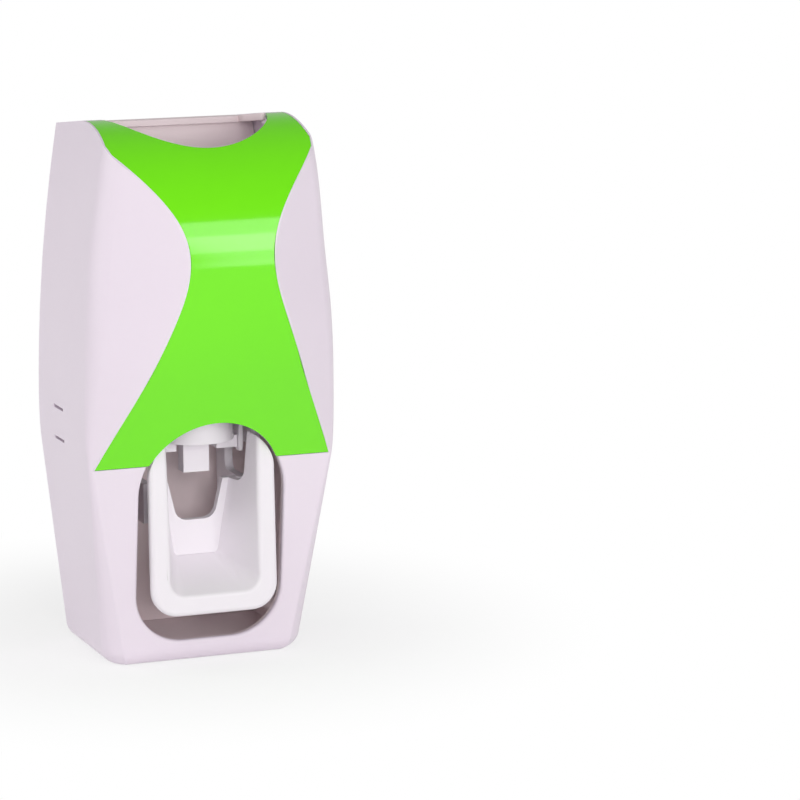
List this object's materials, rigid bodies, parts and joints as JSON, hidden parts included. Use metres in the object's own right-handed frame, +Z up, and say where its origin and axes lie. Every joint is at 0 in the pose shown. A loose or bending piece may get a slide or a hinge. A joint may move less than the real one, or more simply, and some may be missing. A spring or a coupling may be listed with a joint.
{
  "type": "toothpaste dispenser",
  "caption": "Wall-mounted toothpaste dispenser: tapered housing with an hourglass front panel, an open top for an upturned tube, and a hinged scoop that works a piston pump.",
  "frame": {"origin": "middle of the adhesive pad's wall face", "axes": "+Z up, +Y into the wall, the front towards -Y, +X to the right of someone facing the wall"},
  "size_m": [0.0772, 0.0684, 0.161],
  "materials": {
    "shell": "satin moulded plastic, lavender white",
    "panel": "glossy bright green plastic",
    "white_plastic": "white moulded plastic",
    "silicone": "pale silicone",
    "steel": "stainless steel",
    "foam": "white adhesive foam"
  },
  "bodies": {
    "housing": {"front_shell": "shell", "back_plate": "shell", "front_panel": "panel", "nozzle": "white_plastic", "pump_body": "white_plastic", "tube_deck": "shell", "cylinder_cap": "white_plastic", "valve_ring": "white_plastic", "inlet_sleeve": "silicone", "inlet_valve": "silicone", "outlet_valve": "silicone", "cap_gasket": "silicone", "return_spring": "steel", "trigger_pin": "steel", "pin_clips": "steel", "case_screws": "steel", "pump_screws": "steel", "adhesive_pad": "foam"},
    "trigger": {"trigger": "white_plastic"},
    "piston": {"piston": "white_plastic", "piston_seal": "silicone"}
  },
  "joints": [
    {"name": "trigger_swing", "type": "hinge", "parent": "housing", "child": "trigger", "pos_m": [0, -0.0157, -0.014], "axis": [1, 0, 0], "range_deg": [0, 16], "stiffness_Nm_per_rad": 0.6, "springref_deg": -9.74},
    {"name": "piston_slide", "type": "slide", "parent": "housing", "child": "piston", "axis": [0, -1, 0], "range_m": [0, 0.0041], "deforming": ["return_spring"]}
  ],
  "couplings": [
    {"joint": "piston_slide", "follows": "trigger_swing", "m_per_rad": 0.014}
  ]
}
